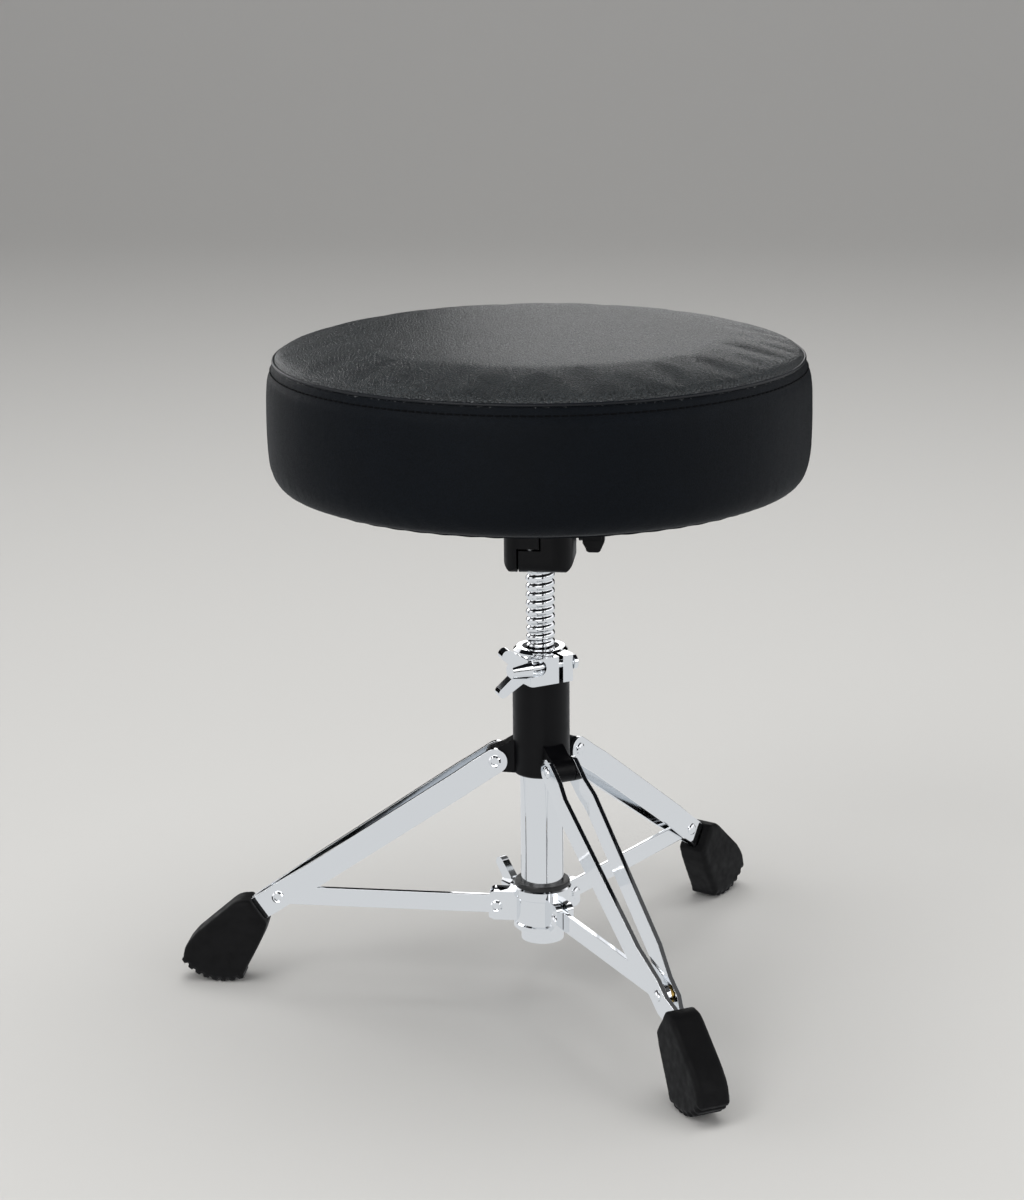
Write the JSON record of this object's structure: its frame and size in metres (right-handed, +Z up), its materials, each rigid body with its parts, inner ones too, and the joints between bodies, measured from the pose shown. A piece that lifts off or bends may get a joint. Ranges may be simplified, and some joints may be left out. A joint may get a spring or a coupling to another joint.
{
  "type": "drum throne",
  "caption": "Low stool with a round padded vinyl seat on a threaded post, clamped in a folding tripod of flat double-bar legs with rubber feet.",
  "frame": {"origin": "where the post's axis meets the floor", "axes": "+Z up along the post; leg 1 points along -X, legs 2 and 3 lie 60 degrees either side of +X"},
  "size_m": [0.3994, 0.4128, 0.4228],
  "materials": {
    "vinyl": "fine grained black vinyl",
    "plywood": "bare plywood",
    "black_steel": "satin black powder coat",
    "zinc_steel": "zinc plated",
    "black_casting": "satin black",
    "chrome": "bright chrome plate",
    "nylon": "natural nylon",
    "black_plastic": "matte",
    "brass": "plain",
    "rubber": "matte moulded rubber"
  },
  "bodies": {
    "root": {"housing": "black_casting", "leg_pivot_pins": "zinc_steel", "height_nut": "zinc_steel", "nut_pin": "zinc_steel", "centre_tube": "chrome", "tube_plug": "black_plastic", "lock_clamp": "chrome", "lock_bolt": "chrome"},
    "lock_wing_nut": {"lock_wing_nut": "chrome"},
    "collar": {"lower_collar": "chrome", "collar_bush": "black_plastic", "brace_pins": "chrome"},
    "collar_wing_screw": {"collar_screw": "chrome", "collar_wing": "chrome"},
    "rod_guide": {"rod_guide": "nylon"},
    "seat": {"seat_pad": "vinyl", "seat_board": "plywood", "seat_plate": "black_steel", "plate_bolts": "zinc_steel", "tee_nuts": "zinc_steel", "bracket_body": "black_casting", "jaw_pin": "zinc_steel", "jaw_bolt": "zinc_steel", "threaded_rod": "chrome", "rod_end_screw": "chrome"},
    "bracket_jaw": {"clamp_jaw": "black_casting"},
    "bracket_knob": {"bracket_knob": "black_casting"},
    "brace_1": {"brace_1": "chrome"},
    "leg_1": {"leg_1_near_bar": "chrome", "leg_1_far_bar": "chrome", "leg_1_top_rivets": "chrome", "leg_1_brace_rivet": "chrome", "leg_1_washers": "brass", "leg_1_foot": "rubber"},
    "brace_2": {"brace_2": "chrome"},
    "leg_2": {"leg_2_near_bar": "chrome", "leg_2_far_bar": "chrome", "leg_2_top_rivets": "chrome", "leg_2_brace_rivet": "chrome", "leg_2_washers": "brass", "leg_2_foot": "rubber"},
    "brace_3": {"brace_3": "chrome"},
    "leg_3": {"leg_3_near_bar": "chrome", "leg_3_far_bar": "chrome", "leg_3_top_rivets": "chrome", "leg_3_brace_rivet": "chrome", "leg_3_washers": "brass", "leg_3_foot": "rubber"}
  },
  "joints": [
    {"name": "rod_lift", "type": "slide", "parent": "root", "child": "rod_guide", "axis": [0, 0, 1], "range_m": [-0.04, 0.07]},
    {"name": "seat_spin", "type": "hinge", "parent": "rod_guide", "child": "seat", "pos_m": [0, 0, 0.2], "axis": [0, 0, 1], "range_deg": [-2650, 4650]},
    {"name": "jaw_hinge", "type": "hinge", "parent": "seat", "child": "bracket_jaw", "pos_m": [-0.0046, -0.0158, 0.29735], "axis": [0, 0, -1], "range_deg": [0, 1.2]},
    {"name": "bracket_knob_turn", "type": "hinge", "parent": "seat", "child": "bracket_knob", "pos_m": [0.0215, 0.0167, 0.29535], "axis": [1, 0, 0], "range_deg": [0, 540]},
    {"name": "lock_nut_turn", "type": "hinge", "parent": "root", "child": "lock_wing_nut", "pos_m": [-0.00487, -0.02966, 0.22005], "axis": [-0.8192, -0.5736, 0], "range_deg": [0, 720]},
    {"name": "collar_slide", "type": "slide", "parent": "root", "child": "collar", "axis": [0, 0, 1], "range_m": [0, 0.0679]},
    {"name": "collar_screw_turn", "type": "hinge", "parent": "collar", "child": "collar_wing_screw", "pos_m": [-0.01414, 0.01414, 0.06111], "axis": [-0.7071, 0.7071, 0], "range_deg": [0, 540]},
    {"name": "brace_1_hinge", "type": "hinge", "parent": "collar", "child": "brace_1", "pos_m": [-0.029, 0, 0.05561], "axis": [0, -1, 0], "range_deg": [0, 87.5]},
    {"name": "leg_1_hinge", "type": "hinge", "parent": "brace_1", "child": "leg_1", "pos_m": [-0.16952, 0, 0.05771], "axis": [0, -1, 0], "range_deg": [-34.7, 0]},
    {"name": "brace_2_hinge", "type": "hinge", "parent": "collar", "child": "brace_2", "pos_m": [0.0145, -0.02511, 0.05561], "axis": [0.866, 0.5, 0], "range_deg": [0, 87.5]},
    {"name": "leg_2_hinge", "type": "hinge", "parent": "brace_2", "child": "leg_2", "pos_m": [0.08476, -0.14681, 0.05771], "axis": [0.866, 0.5, 0], "range_deg": [-34.7, 0]},
    {"name": "brace_3_hinge", "type": "hinge", "parent": "collar", "child": "brace_3", "pos_m": [0.0145, 0.02511, 0.05561], "axis": [-0.866, 0.5, 0], "range_deg": [0, 87.5]},
    {"name": "leg_3_hinge", "type": "hinge", "parent": "brace_3", "child": "leg_3", "pos_m": [0.08476, 0.14681, 0.05771], "axis": [-0.866, 0.5, 0], "range_deg": [-34.7, 0]}
  ],
  "couplings": [
    {"joint": "rod_lift", "follows": "seat_spin", "m_per_rad": 0.00085944},
    {"joint": "brace_1_hinge", "follows": "collar_slide", "rad_per_m": 22.455},
    {"joint": "leg_1_hinge", "follows": "collar_slide", "rad_per_m": -8.8925},
    {"joint": "brace_2_hinge", "follows": "collar_slide", "rad_per_m": 22.455},
    {"joint": "leg_2_hinge", "follows": "collar_slide", "rad_per_m": -8.8925},
    {"joint": "brace_3_hinge", "follows": "collar_slide", "rad_per_m": 22.455},
    {"joint": "leg_3_hinge", "follows": "collar_slide", "rad_per_m": -8.8925}
  ]
}
